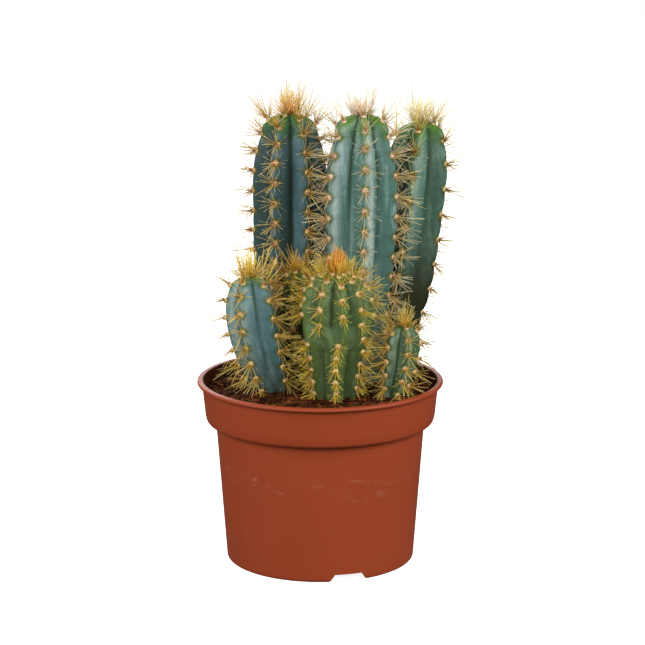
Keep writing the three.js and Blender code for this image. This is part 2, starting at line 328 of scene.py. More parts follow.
FOOT_SHADE_COLOUR = "#25260f"         # painted shade at the foot, over browned old skin


def cad_meridian(node):
    """Crest radius and axis of a CAD stem along its side, from the tip down, with the length walked."""
    sections = {}
    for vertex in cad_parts[node].data.vertices:
        point = (round(vertex.co.x, 6), round(vertex.co.y, 6))
        sections.setdefault(round(vertex.co.z, 5), set()).add(point)
    rows = []
    for height in sorted(sections, reverse=True):
        points = np.array(sorted(sections[height]))
        if len(points) < 8:
            continue
        middle = (points.min(0) + points.max(0)) / 2 if len(points) % 2 else points.mean(0)
        rows.append((np.linalg.norm(points - middle, axis=1).max(), height, *middle))
    rows = rows[2:-1]       # the tip's brush above the flesh and the buried end are left out
    rows[0] = (0.0, *rows[0][1:])
    rows = np.array(rows)
    walked = np.concatenate([[0], np.cumsum(np.hypot(np.diff(rows[:, 0]), np.diff(rows[:, 1])))])
    return walked, rows


def smooth(walked, rows, at):
    """Smooth curve through the rows, read at the lengths asked for."""
    slopes = np.gradient(rows, walked, axis=0)
    i = np.clip(np.searchsorted(walked, at, side="right") - 1, 0, len(walked) - 2)
    span = (walked[i + 1] - walked[i])[..., None]
    t = ((at - walked[i]) / (walked[i + 1] - walked[i]))[..., None]
    return (rows[i] * (2 * t**3 - 3 * t**2 + 1) + slopes[i] * span * (t**3 - 2 * t**2 + t)
            + rows[i + 1] * (3 * t**2 - 2 * t**3) + slopes[i + 1] * span * (t**3 - t**2))


class Flesh:
    """The shape of one stem: where a point of its skin lies, and where its spine cushions sit."""

    def __init__(self, stem):
        self.stem = stem
        self.walked, self.rows = cad_meridian(stem["node"])
        self.length = self.walked[-1]
        self.crown = self.rows[0, 1]
        self.count = len(stem["ribs"])
        self.full_radius = self.rows[:, 0].max()
        # how many cushions lie between the tip and any length walked down the side
        along = np.linspace(0, self.length, 400)
        pitch = np.interp(along / self.length, (0, 0.25, 1), np.array(stem["spacing"]) * MM)
        self.along = along
        self.counted = np.concatenate([[0], np.cumsum(np.diff(along) / ((pitch[1:] + pitch[:-1]) / 2))])

    def share(self, height):
        return (height - SOIL_LEVEL) / (self.crown - SOIL_LEVEL)

    def bearings(self, height):
        """Bearing of every rib at the heights asked for, in radians."""
        crown_ribs = np.array(self.stem["ribs"], float)
        foot_ribs = np.array(self.stem.get("foot_ribs", self.stem["ribs"]), float)
        parted = np.clip((self.share(height) - FORK[0]) / (FORK[1] - FORK[0]), 0, 1)
        parted = (parted * parted * (3 - 2 * parted))[..., None]
        return np.radians(foot_ribs * (1 - parted) + crown_ribs * parted)

    def without_cushion(self, rib, height):
        """Where a rib bears no cushions: joined ribs share one row, with a gap where they join."""
        if "foot_ribs" not in self.stem:
            return np.zeros(np.shape(height), bool)
        share = self.share(height)
        joined = np.isin(rib, self.stem["merging"]) | (share > FORK[1] - 0.1)
        return joined & (share < FORK[1] - 0.02)

    def skin(self, walked, across):
        """Points of the skin, and what its colours go by: how near each is to a crest, a cushion and a cross
        line, and which flank it is on. across counts ribs, so 2.5 is the furrow between ribs 2 and 3."""
        radius, height, axis_x, axis_y = np.moveaxis(smooth(self.walked, self.rows, walked), -1, 0)
        ribs = self.bearings(height)
        left = np.floor(across).astype(int) % self.count
        right = (left + 1) % self.count
        part = across - np.floor(across)
        first = np.take_along_axis(ribs, left[..., None], -1)[..., 0]
        second = np.take_along_axis(ribs, right[..., None], -1)[..., 0]
        gap = (second - first) % math.tau
        depth = self.stem.get("furrow", FURROW_DEPTH) * np.minimum(1, gap / (math.tau / self.count))
        from_tip = walked / self.full_radius
        shoulder = self.stem["shoulder"]
        radius = radius * (1 + shoulder * np.exp(-(((from_tip - SHOULDER_PLACE) / SHOULDER_SPREAD) ** 2)))
        depth = depth * (1 + (0.3 + 1.5 * shoulder) * np.clip(CROWN_DEPTH - from_tip, 0, 1))
        furrowed = np.minimum(1, gap / (0.6 * math.tau / self.count))
        if "foot_ribs" in self.stem:
            parted = np.clip((self.share(height) - FORK[0]) / (FORK[1] - FORK[0]), 0, 1)
            fade = 1 - FORK_FADE * parted * (1 - parted)
            depth = depth * fade
            furrowed = furrowed * fade
        off_crest = np.minimum(part, 1 - part) * 2
        crest = np.clip(1 - 1.9 * off_crest, 0, 1)
        # a flank is nearly a straight line from the rounded crest to the sharp furrow
        half_gap = gap / 2
        turn = (np.hypot(off_crest, CREST_ROUNDING) - CREST_ROUNDING) * half_gap
        turn = turn / (math.hypot(1, CREST_ROUNDING) - CREST_ROUNDING)
        flank = (1 - depth) * np.sin(half_gap) / ((1 - depth) * np.sin(half_gap - turn) + np.sin(turn))
        flank = flank + FLANK_SWELL * depth * np.sin(math.pi * off_crest)
        nearest = np.where(part < 0.5, left, right)
        cushions = np.interp(walked, self.along, self.counted) - np.array(self.stem["start"])[nearest]
        bare = self.without_cushion(nearest, height)
        beat = np.where(bare, 0, (0.5 + 0.5 * np.cos(math.tau * cushions)) ** 2)
        notch = self.stem["notch"] * MM * beat * crest ** 1.5 * np.minimum(1, radius / (8 * MM))
        line = (0.5 + 0.5 * np.cos(math.tau * (cushions + 0.05))) ** 40 * np.sin(math.pi * off_crest)
        reach = np.maximum(radius * flank - notch - CROSS_LINE_DEPTH * line, 0)
        angle = first + gap * part
        points = np.stack([axis_x + reach * np.sin(angle), axis_y - reach * np.cos(angle), height], -1)
        from_cushion = np.hypot((cushions - np.round(cushions)) * CUSHION_PITCH, off_crest * gap / 2 * radius)
        from_cushion = np.where(bare, CUSHION_REACH, from_cushion)
        # which flank each point is on, read by the skin's painted flank shade and painted crest highlight
        flank_side = 0.5 + np.where(part < 0.5, 0.5, -0.5) * np.clip(2.5 * off_crest, 0, 1)
        return points, 0.5 + (0.5 - off_crest) * furrowed, from_cushion, line * furrowed, flank_side

    def cushions(self):
        """Place, outward direction, upward direction and age of every spine cushion above the soil."""
        found = []
        for rib, start in enumerate(self.stem["start"]):
            number = start if start >= 0.5 else start + 1
            while number < self.counted[-1]:
                walked = float(np.interp(number, self.counted, self.along))
                number += 1
                at = np.array([walked, walked + 0.5 * MM, walked])
                side = np.array([rib, rib, rib + 0.02])
                points = self.skin(at, side)[0]
                if points[0][2] < SOIL_LEVEL + 1.5 * MM:
                    continue
                if self.without_cushion(rib, points[0][2]):
                    continue
                if points[0][2] < pot_height and math.hypot(*points[0][:2]) > soil_radius - 3 * MM:
                    continue
                place = Vector(points[0])
                height = smooth(self.walked, self.rows, np.array(walked))[1]
                lower = smooth(self.walked, self.rows, np.array(walked + 1 * MM))
                upper = smooth(self.walked, self.rows, np.array(max(walked - 1 * MM, 0)))
                angle = self.bearings(np.array(height))[rib]
                outward = Vector((math.sin(angle), -math.cos(angle), 0))
                climb = outward * float(upper[0] - lower[0]) + Vector(
                    (float(upper[2] - lower[2]), float(upper[3] - lower[3]), float(upper[1] - lower[1])))
                climb.normalize()
                normal = (outward - climb * outward.dot(climb)).normalized()
                if normal.dot(outward) < 0:
                    normal = -normal
                found.append((place, normal, climb, walked / self.length))
        return found


def colour_attribute(mesh, name, values):
    attribute = mesh.color_attributes.new(name, "FLOAT_COLOR", "POINT")
    attribute.data.foreach_set("color", np.asarray(values, np.float32).ravel())


def crowding(flesh, points):
    """How close each point is to another stem, from 0 in the open to 1 where they touch."""
    closest = np.full(len(points), 1.0)
    for other in fleshes:
        if other is flesh:
            continue
        rows = other.rows[::-1]
        radius, axis_x, axis_y = (np.interp(points[:, 2], rows[:, 1], rows[:, i]) for i in (0, 2, 3))
        away = np.hypot(points[:, 0] - axis_x, points[:, 1] - axis_y) - radius
        above = np.maximum(points[:, 2] - other.crown, 0)
        closest = np.minimum(closest, np.hypot(np.maximum(away, 0), above))
    return np.clip(1 - closest / CROWDED_WITHIN, 0, 1)


def roll_skin(flesh):
    """A sheet of skin, rolled up and closed at the seam, the tip and the buried end."""
    columns = flesh.count * COLUMNS_PER_RIB
    rows = int(flesh.length / ROW_STEP)
    nothing_selected()
    bpy.ops.mesh.primitive_grid_add(x_subdivisions=columns, y_subdivisions=rows, size=2)
    skin = bpy.context.object
    skin.name = "skin_of_" + flesh.stem["node"]
    sheet = np.zeros(len(skin.data.vertices) * 3, np.float32)
    skin.data.vertices.foreach_get("co", sheet)
    sheet = sheet.reshape(-1, 3).astype(float)
    across = (sheet[:, 0] + 1) / 2 * flesh.count
    across = np.where(across > flesh.count - 1e-4, 0, across)
    walked = (1 - sheet[:, 1]) / 2 * flesh.length
    points, crest, from_cushion, line, flank_side = flesh.skin(walked, across)
    skin.data.vertices.foreach_set("co", points.astype(np.float32).ravel())
    age = walked / flesh.length
    colour_attribute(skin.data, "skin_map", np.stack([crest, from_cushion / CUSHION_REACH, age, line], -1))
    # nearness to other stems and which flank each point is on, read by the skin's painted shade and highlight
    shade_between_stems = crowding(flesh, points)
    unused = np.zeros(len(points))
    colour_attribute(skin.data, "skin_place", np.stack([flank_side, shade_between_stems, unused, unused + 1], -1))
    bpy.ops.object.mode_set(mode="EDIT")
    bpy.ops.mesh.select_all(action="SELECT")
    bpy.ops.mesh.remove_doubles(threshold=1e-6)
    bpy.ops.mesh.select_all(action="DESELECT")
    bpy.ops.mesh.select_non_manifold()
    bpy.ops.mesh.edge_face_add()
    bpy.ops.mesh.select_all(action="SELECT")
    bpy.ops.mesh.normals_make_consistent(inside=False)
    bpy.ops.object.mode_set(mode="OBJECT")
    bpy.ops.object.shade_smooth()
    return skin


def cactus_skin(name, wall, face, bloom, crest_highlight, halo, young, furrow, shaded_flank, foot_shade):
    """Waxy cactus skin: a green wall under a pale blue wax bloom, which is thickest on open faces. A painted
    highlight, a paler edge, runs along each crest on the side away from the painted flank shade. The bloom is
    rubbed off round the cushions and has yet to form on young growth. Painted shade darkens the furrows, and
    the skin between close-set stems, towards the green wall; furrow is how strong it stays in the old
    furrows.
    The next argument is how far each rib's clockwise flank, or below zero the other one, is darkened as
    painted shade. The last is how far the foot is darkened, painted shade over browned old skin, and the ages
    between which it does."""
    material, shader = new_material(name)
    place = add_node(material, "ShaderNodeTexCoord").outputs["Object"]
    skin_map = add_node(material, "ShaderNodeVertexColor", layer_name="skin_map").outputs
    map_split = add_node(material, "ShaderNodeSeparateColor", {"Color": skin_map["Color"]})
    crest, cushion, age = map_split.outputs[:3]
    skin_place = add_node(material, "ShaderNodeVertexColor", layer_name="skin_place")
    place_split = add_node(material, "ShaderNodeSeparateColor", {"Color": skin_place.outputs["Color"]})
    side, shade_between_stems = place_split.outputs[:2]
    drawn_out = add_node(material, "ShaderNodeMapping", {"Vector": place, "Scale": (1, 1, 0.14)})
    patches = add_node(material, "ShaderNodeTexNoise", {
        "Vector": drawn_out.outputs[0], "Scale": 1 / (8 * MM), "Detail": 5.0, "Roughness": 0.62})
    patches = patches.outputs["Fac"]
    mottle = add_node(material, "ShaderNodeTexNoise", {"Vector": place, "Scale": 1 / (3 * MM), "Detail": 4.0})
    mottle = mottle.outputs["Fac"]
    open_face = add_node(material, "ShaderNodeMapRange", {
        "Value": crest, "From Min": 0.75, "From Max": 0.3, "To Min": 0.56, "To Max": 0.44}).outputs[0]
    fraying = add_node(material, "ShaderNodeMath", {0: mottle, 1: 0.25}, operation="MULTIPLY").outputs[0]
    ragged = add_node(material, "ShaderNodeMath", {0: cushion, 1: fraying}, operation="SUBTRACT").outputs[0]
    # the flank sides that get the painted crest highlight and the painted flank shade
    lit_from, lit_to, shaded_flank_end = (0.6, 0.2, 1.0) if shaded_flank > 0 else (0.4, 0.8, 0.0)
    foot_shade_amount, first_age, last_age = foot_shade

    # the coats of colour, in the order they are laid on. Each covers as much as its ranges, multiplied:
    # a value, its lowest and highest limit, and the cover at each limit
    coats = [
        (bloom, [(patches, open_face, 0.66, 0, 0.95)]),
        # painted highlight: a paler edge along each crest, on its lit side
        (crest_highlight, [
            (side, lit_from, lit_to, 0, 0.8), (crest, 0.3, 0.7, 0, 1), (patches, 0.3, 0.6, 0.35, 1)]),
        # painted shade: each rib's less lit flank darkened towards the green wall
        (wall, [(side, 0.5, shaded_flank_end, 0, abs(shaded_flank))]),
        # painted shade between close-set stems
        (wall, [(shade_between_stems, 0.2, 0.8, 0, 0.8)]),
        # painted shade in the furrows: a broad band and a narrow line, full near the tip and as strong as
        # furrow lower down
        (wall, [(crest, 0, 0.26, 1, 0), (age, 0.18, 0.36, 0.95, furrow)]),
        (wall, [(crest, 0.03, 0.13, 0.8, 0), (age, 0.2, 0.4, 1, furrow)]),
        (wall, [(ragged, 0.38, 0.14, 0, 0.6)]),
        (halo, [(ragged, 0.26, 0.1, 0, 0.9)]),
        (wall, [(skin_map["Alpha"], 0, 1, 0, 1), (mottle, 0.4, 0.65, 0, 0.5)]),
        # painted shade towards the foot, over browned old skin
        (FOOT_SHADE_COLOUR, [(age, first_age, last_age, 0, foot_shade_amount)]),
        (young, [(age, 0.14, 0.04, 0, 0.9), (crest, 0.05, 0.5, 0.35, 1)]),
    ]
    tone = linear(face)
    for colour, ranges in coats:
        cover = 1.0
        for value, low, high, at_low, at_high in ranges:
            part = add_node(material, "ShaderNodeMapRange", {
                "Value": value, "From Min": low, "From Max": high, "To Min": at_low, "To Max": at_high})
            cover = add_node(material, "ShaderNodeMath", {
                0: cover, 1: part.outputs[0]}, operation="MULTIPLY").outputs[0]
        tone = add_node(material, "ShaderNodeMix", {
            0: cover, 6: tone, 7: linear(colour)}, data_type="RGBA").outputs[2]
    speckle = add_node(material, "ShaderNodeMapRange", {
        "Value": mottle, "From Min": 0.3, "From Max": 0.7, "To Min": 0.86, "To Max": 1.1})
    speckled = add_node(material, "ShaderNodeVectorMath", {
        0: tone, 1: speckle.outputs[0]}, operation="MULTIPLY")
    waxy = add_node(material, "ShaderNodeMapRange", {
        "Value": patches, "From Min": 0.3, "From Max": 0.7, "To Min": 0.4, "To Max": 0.6})
    pores = add_node(material, "ShaderNodeTexNoise", {
        "Vector": place, "Scale": 1 / (0.7 * MM), "Detail": 2.0})
    bump = add_node(material, "ShaderNodeBump", {
        "Height": pores.outputs["Fac"], "Strength": 0.35, "Distance": 0.12 * MM})
    material.node_tree.links.new(speckled.outputs[0], shader.inputs["Base Color"])
    material.node_tree.links.new(waxy.outputs[0], shader.inputs["Roughness"])
    material.node_tree.links.new(bump.outputs[0], shader.inputs["Normal"])
    shader.inputs["IOR"].default_value = 1.44
    shader.inputs["Specular IOR Level"].default_value = 0.28
    shader.inputs["Subsurface Weight"].default_value = 0.08
    shader.inputs["Subsurface Radius"].default_value = (0.6, 1.0, 0.5)
    shader.inputs["Subsurface Scale"].default_value = 1.2 * MM
    return material


SKINS = {
    "stem_back_left": cactus_skin(
        "waxy_skin_dark_blue", wall="#1a2812", face="#3e5c60", bloom="#587a80", crest_highlight="#5a777c",
        halo="#5c6420", young="#4a7420", furrow=0.9, shaded_flank=0.5, foot_shade=(0.6, 0.4, 0.7)),
    "stem_back_middle": cactus_skin(
        "waxy_skin_pale_blue", wall="#203c20", face="#52786f", bloom="#90b0aa", crest_highlight="#b0c2bc",
        halo="#6c7838", young="#587f20", furrow=0.4, shaded_flank=-0.2, foot_shade=(0.4, 0.4, 0.8)),
    "stem_back_right": cactus_skin(
        "waxy_skin_teal", wall="#1e3418", face="#4e7264", bloom="#7c9e88", crest_highlight="#7c9684",
        halo="#5c6c24", young="#548028", furrow=0.35, shaded_flank=-0.5, foot_shade=(0.97, 0.36, 0.62)),
    "stem_front_left": cactus_skin(
        "waxy_skin_bloomed", wall="#284424", face="#587c80", bloom="#94b0b0", crest_highlight="#809894",
        halo="#707c38", young="#54782e", furrow=0.25, shaded_flank=-0.14, foot_shade=(0.75, 0.5, 0.85)),
    "stem_front_middle": cactus_skin(
        "green_skin", wall="#2c4414", face="#50653a", bloom="#6e8662", crest_highlight="#647838",
        halo="#6c7c24", young="#466808", furrow=0.35, shaded_flank=-0.15, foot_shade=(0.7, 0.55, 0.92)),
    "stem_front_right": cactus_skin(
        "waxy_skin_small", wall="#263e1c", face="#4e6c50", bloom="#8ca48c", crest_highlight="#94a88c",
        halo="#5c6c24", young="#5c7430", furrow=0.85, shaded_flank=-0.3, foot_shade=(0.4, 0.5, 0.95)),
    "stem_inner_short": cactus_skin(
        "green_skin_shaded", wall="#1c2408", face="#44541c", bloom="#607040", crest_highlight="#64702c",
        halo="#5c641c", young="#5c7014", furrow=0.9, shaded_flank=0.3, foot_shade=(0.7, 0.4, 0.9)),
}
fleshes = [Flesh(stem) for stem in STEMS]
for flesh in fleshes:
    node = flesh.stem["node"]
    skin = roll_skin(flesh)
    skin.data.materials.append(SKINS[node])
    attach(skin, "root")
    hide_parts(node)

# ---------------------------------------------------------------- spine cushions
# Areoles: round pads of short tan felt, one in every notch along a rib, from which the spines grow.
# One small pad and one tapered hair are modelled. The pad is set down at each cushion's place, a little
# larger on old growth, and hairs are set all round it for the woolly edge.
CUSHION_WIDTH = 3.7 * MM
CUSHION_HEIGHT = 1.6 * MM
CUSHION_LIFT = 0.2 * MM     # how far the pad's middle stands out of the skin
HAIRS = 16
HAIR_WIDTH = 0.4 * MM
HAIR_LENGTH = (0.9, 1.9)    # mm
NEEDLE_BOW = 0.9            # at the tip, in needle widths


def mesh_points(piece):
    flat = np.zeros(len(piece.data.vertices) * 3, np.float32)
    piece.data.vertices.foreach_get("co", flat)
    return flat.reshape(-1, 3).astype(float), [tuple(face.vertices) for face in piece.data.polygons]


def set_down(name, pattern, placements, tints=None):
    """One mesh of many copies of a pattern (points, faces), one for each 4x4 placement."""
    points, faces = pattern
    shape = np.concatenate([points, np.ones((len(points), 1))], 1)
    matrices = np.array([[list(row) for row in m] for m in placements])
    placed = np.einsum("nij,pj->npi", matrices, shape)[:, :, :3].reshape(-1, 3)
    copies = [tuple(v + n * len(points) for v in face) for n in range(len(placements)) for face in faces]
    mesh = bpy.data.meshes.new(name)
    mesh.from_pydata(placed.tolist(), [], copies)
    if tints is not None:
        colour_attribute(mesh, "tint", tints)
    mesh.shade_smooth()
    piece = bpy.data.objects.new(name, mesh)
    bpy.context.scene.collection.objects.link(piece)
    return piece


nothing_selected()
bpy.ops.mesh.primitive_ico_sphere_add(subdivisions=2, radius=1)
pad = bpy.context.object
pad_pattern = mesh_points(pad)
bpy.data.objects.remove(pad)

nothing_selected()
bpy.ops.mesh.primitive_cone_add(vertices=4, radius1=0.5, radius2=0.3, depth=1, location=(0, 0, 0.5))
needle = bpy.context.object
bpy.ops.object.transform_apply(location=True, rotation=True, scale=True)
bpy.ops.object.mode_set(mode="EDIT")
bpy.ops.mesh.select_all(action="SELECT")
bpy.ops.mesh.bisect(plane_co=(0, 0, 0.35), plane_no=(0, 0, 1))
bpy.ops.mesh.select_all(action="SELECT")
bpy.ops.mesh.bisect(plane_co=(0, 0, 0.7), plane_no=(0, 0, 1))
bpy.ops.object.mode_set(mode="OBJECT")
needle_points, needle_faces = mesh_points(needle)
needle_points[:, 0] += NEEDLE_BOW * needle_points[:, 2] ** 2
bpy.data.objects.remove(needle)
needle_share = needle_points[:, 2]


def pointed(place, direction, up, width, length):
    """Placement with local Z along direction and the given width and length."""
    side = up.cross(direction)
    if side.length < 1e-6:
        side = Vector((1, 0, 0)).cross(direction)
    side.normalize()
    back = direction.cross(side)
    return Matrix((
        (side.x * width, back.x * width, direction.x * length, place.x),
        (side.y * width, back.y * width, direction.y * length, place.y),
        (side.z * width, back.z * width, direction.z * length, place.z),
        (0, 0, 0, 1)))


felt, shader = new_material("areole_felt")
place = add_node(felt, "ShaderNodeTexCoord").outputs["Object"]
tint = add_node(felt, "ShaderNodeVertexColor", layer_name="tint").outputs["Color"]
fuzz = add_node(felt, "ShaderNodeTexNoise", {"Vector": place, "Scale": 1 / (0.6 * MM), "Detail": 3.0})
shade = add_node(felt, "ShaderNodeMapRange", {"Value": fuzz.outputs["Fac"], "To Min": 0.6, "To Max": 1.35})
felt_tone = add_node(felt, "ShaderNodeVectorMath", {0: tint, 1: shade.outputs[0]}, operation="MULTIPLY")
fuzz_bump = add_node(felt, "ShaderNodeBump", {
    "Height": fuzz.outputs["Fac"], "Strength": 0.9, "Distance": 0.5 * MM})
felt.node_tree.links.new(felt_tone.outputs[0], shader.inputs["Base Color"])
felt.node_tree.links.new(fuzz_bump.outputs[0], shader.inputs["Normal"])
shader.inputs["Roughness"].default_value = 0.95
shader.inputs["Sheen Weight"].default_value = 0.4

FELT_TONES = {
    "stem_back_left": ("#ecc090", "#d8a868"), "stem_back_middle": ("#f4d4b8", "#ecc49c"),
    "stem_back_right": ("#f0cc98", "#e0b474"), "stem_front_left": ("#f0d094", "#e4bc6c"),
    "stem_front_middle": ("#f4d4a0", "#e8bc7c"), "stem_front_right": ("#ecc48c", "#dcb070"),
    "stem_inner_short": ("#e4bc7c", "#d4a258"),
}
shuffle = random.Random(41)
for flesh in fleshes:
    node = flesh.stem["node"]
    placements, tints, hair_places, hair_tints = [], [], [], []
    young, old = (np.array(linear(c)) for c in FELT_TONES[node])
    for place, normal, climb, age in flesh.cushions():
        size = CUSHION_WIDTH / 2 * (0.78 + 0.3 * min(1, age * 4) - 0.24 * age) * shuffle.uniform(0.88, 1.12)
        height = CUSHION_HEIGHT * size / CUSHION_WIDTH * 2
        placements.append(pointed(place + normal * CUSHION_LIFT, normal, climb, size, height))
        tint = young + (old - young) * min(1, age * shuffle.uniform(0.7, 1.3))
        tints.append(tint)
        side = climb.cross(normal)
        for _ in range(HAIRS):
            lean, around = math.radians(shuffle.uniform(20, 88)), shuffle.uniform(0, math.tau)
            flat = climb * math.cos(around) + side * math.sin(around)
            direction = normal * math.cos(lean) + flat * math.sin(lean)
            start = place + normal * 0.4 * MM + direction * size * 0.7
            length = shuffle.uniform(*HAIR_LENGTH) * MM
            hair_places.append(pointed(start, direction, normal + flat, HAIR_WIDTH, length))
            hair_tints.append(np.tile(tint * [*[shuffle.uniform(0.8, 1.15)] * 3, 1], (len(needle_points), 1)))
    tints = np.repeat(np.array(tints), len(pad_pattern[0]), axis=0)
    for name, pattern, places, colours in (
            ("cushions_of_", pad_pattern, placements, tints),
            ("wool_of_", (needle_points, needle_faces), hair_places, np.concatenate(hair_tints))):
        felt_piece = set_down(name + node, pattern, places, colours)
        felt_piece.data.materials.append(felt)
        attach(felt_piece, "root")

# ---------------------------------------------------------------- spines
# Thin needles of horn, golden at the root and straw at the tip. A ring of fine ones lies fanned round each
# cushion, and longer ones stand out of its middle, the straightest being the longest and stoutest. One
# tapered needle is modelled and copied.
SPINE_WIDTH = 0.39 * MM
# how far past the CAD box a spine may reach along each axis: 3% of the box's side and 9 mm
SPINE_ROOM = [0.03 * side + 9 * MM for side in Vector(cad_box[1]) - Vector(cad_box[0])]

horn, shader = new_material("golden_spine_horn")
tint = add_node(horn, "ShaderNodeVertexColor", layer_name="tint").outputs["Color"]
horn.node_tree.links.new(tint, shader.inputs["Base Color"])
shader.inputs["Roughness"].default_value = 0.45
shader.inputs["IOR"].default_value = 1.5
shader.inputs["Subsurface Weight"].default_value = 0.5
shader.inputs["Subsurface Radius"].default_value = (1.0, 0.8, 0.45)
shader.inputs["Subsurface Scale"].default_value = 1.5 * MM

# Root, middle and tip colours, the reach of the outer and middle spines in mm, and how many of each. rise is
# how far the spines on young growth turn upward, and droop how far old ones hang.
SPINES = {
    "stem_back_left": {
        "tones": ("#bc8028", "#d0a450", "#dabc80"), "outer": (6, 11), "middle": (9, 16), "count": (10, 15)},
    "stem_back_middle": {
        "tones": ("#c8903c", "#d8b478", "#e4d0a4"), "outer": (6, 11), "middle": (8, 15), "count": (11, 12)},
    "stem_back_right": {
        "tones": ("#c89438", "#dab868", "#e4d094"), "outer": (7, 12), "middle": (10, 17), "count": (10, 18)},
    "stem_front_left": {
        "tones": ("#c48c1c", "#d8ac44", "#dcbc6c"), "outer": (6, 11), "middle": (10, 17), "count": (9, 13)},
    "stem_front_middle": {
        "tones": ("#b87c08", "#d2a628", "#e0bc50"), "outer": (5, 8), "middle": (6, 10), "count": (10, 10),
        "droop": 1.0, "rise": 0.12},
    "stem_front_right": {
        "tones": ("#c08a20", "#d8aa40", "#e0c068"), "outer": (5, 8), "middle": (8, 13), "count": (9, 11)},
    "stem_inner_short": {
        "tones": ("#a0620a", "#c0841c", "#cca03c"), "outer": (6, 9), "middle": (8, 13), "count": (9, 9),
        "rise": 0.4},
}
OUTER_WIDTH = 0.24 * MM
OUTER_LEAN = (48, 80)       # degrees from straight out
MIDDLE_LEAN = (3, 58)
YOUNG = 0.16                # share of a stem's side, from the tip, on which spines still point upward


def needle_tints(tones, brightness):
    """Colour of every point of one needle, from root to tip."""
    root, middle, tip = (np.array(linear(c)) for c in tones)
    rows = [np.interp(needle_share, (0, 0.35, 1), (root[i], middle[i], tip[i])) * (brightness if i < 3 else 1)
            for i in range(4)]
    return np.stack(rows, -1)


def free_lengths(own, starts, directions, lengths):
    """Lengths of the spines, cut short where they would run into another stem, the pot's wall or out of the
    model's room."""
    lengths = lengths.copy()
    for step in (1.0, 0.8, 0.6, 0.4):
        reach = starts + directions * (lengths * step)[:, None]
        blocked = np.zeros(len(starts), bool)
        for other in fleshes:
            if other is own:
                continue
            rows = other.rows[::-1]
            radius, axis_x, axis_y = (np.interp(reach[:, 2], rows[:, 1], rows[:, i]) for i in (0, 2, 3))
            inside = np.hypot(reach[:, 0] - axis_x, reach[:, 1] - axis_y) < radius * 0.86
            blocked |= inside & (reach[:, 2] < other.crown)
        inside_pot = (reach[:, 2] < pot_height + 1 * MM) & (np.hypot(reach[:, 0], reach[:, 1]) > soil_radius)
        lengths = np.where(blocked | inside_pot, lengths * step * 0.8, lengths)
    for axis, room in enumerate(SPINE_ROOM):
        limit = np.where(directions[:, axis] > 0, cad_box[1][axis] + room, cad_box[0][axis] - room)
        lengths = np.minimum(lengths, (limit - starts[:, axis]) / directions[:, axis])
    return lengths


def grow_spines(flesh, look, shuffle):
    starts, directions, lengths, widths, tints = [], [], [], [], []
    outer_count, middle_count = look["count"]
    for place, normal, climb, age in flesh.cushions():
        side = climb.cross(normal)
        turn = shuffle.uniform(0, math.tau)
        youth = max(0.0, 1 - age / YOUNG)
        for i in range(outer_count + middle_count + shuffle.choice((-1, 0, 0, 1, 2))):
            outer = i < outer_count
            least, most = OUTER_LEAN if outer else MIDDLE_LEAN
            lean = shuffle.uniform(least, most)
            stout = 0 if outer else 1 - lean / most
            lean = math.radians(lean)
            around = turn + math.tau * i / outer_count + shuffle.uniform(-0.3, 0.3)
            flat = climb * math.cos(around) + side * math.sin(around)
            direction = normal * math.cos(lean) + flat * math.sin(lean)
            weight = 0.1 + look.get("droop", 0.3) * age
            direction.z += look.get("rise", 0.75) * youth - weight * shuffle.random()
            direction.normalize()
            if direction.dot(normal) < 0.1:
                direction = (direction + normal * (0.14 - direction.dot(normal))).normalized()
            low, high = look["outer"] if outer else look["middle"]
            starts.append(place + normal * 0.5 * MM + direction * 0.3 * MM)
            directions.append(direction)
            length = shuffle.uniform(low, high) * MM * (1.1 + 0.15 * youth - 0.2 * age)
            lengths.append(length * (1 + 0.45 * stout))
            width = OUTER_WIDTH if outer else SPINE_WIDTH * (0.9 + 0.4 * stout)
            widths.append(width * shuffle.uniform(0.85, 1.15))
            tints.append(needle_tints(look["tones"], shuffle.uniform(0.75, 1.15)))
    lengths = free_lengths(flesh, np.array(starts), np.array(directions), np.array(lengths))
    spins = [Vector([shuffle.uniform(-1, 1) for _ in "xyz"]).normalized() for _ in starts]
    placements = [pointed(*row) for row in zip(starts, directions, spins, widths, lengths)]
    return placements, tints


shuffle = random.Random(7)
for flesh in fleshes:
    node = flesh.stem["node"]
    placements, tints = grow_spines(flesh, SPINES[node], shuffle)
    spines = set_down("spines_of_" + node, (needle_points, needle_faces), placements, np.concatenate(tints))
    spines.data.materials.append(horn)
    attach(spines, "root")

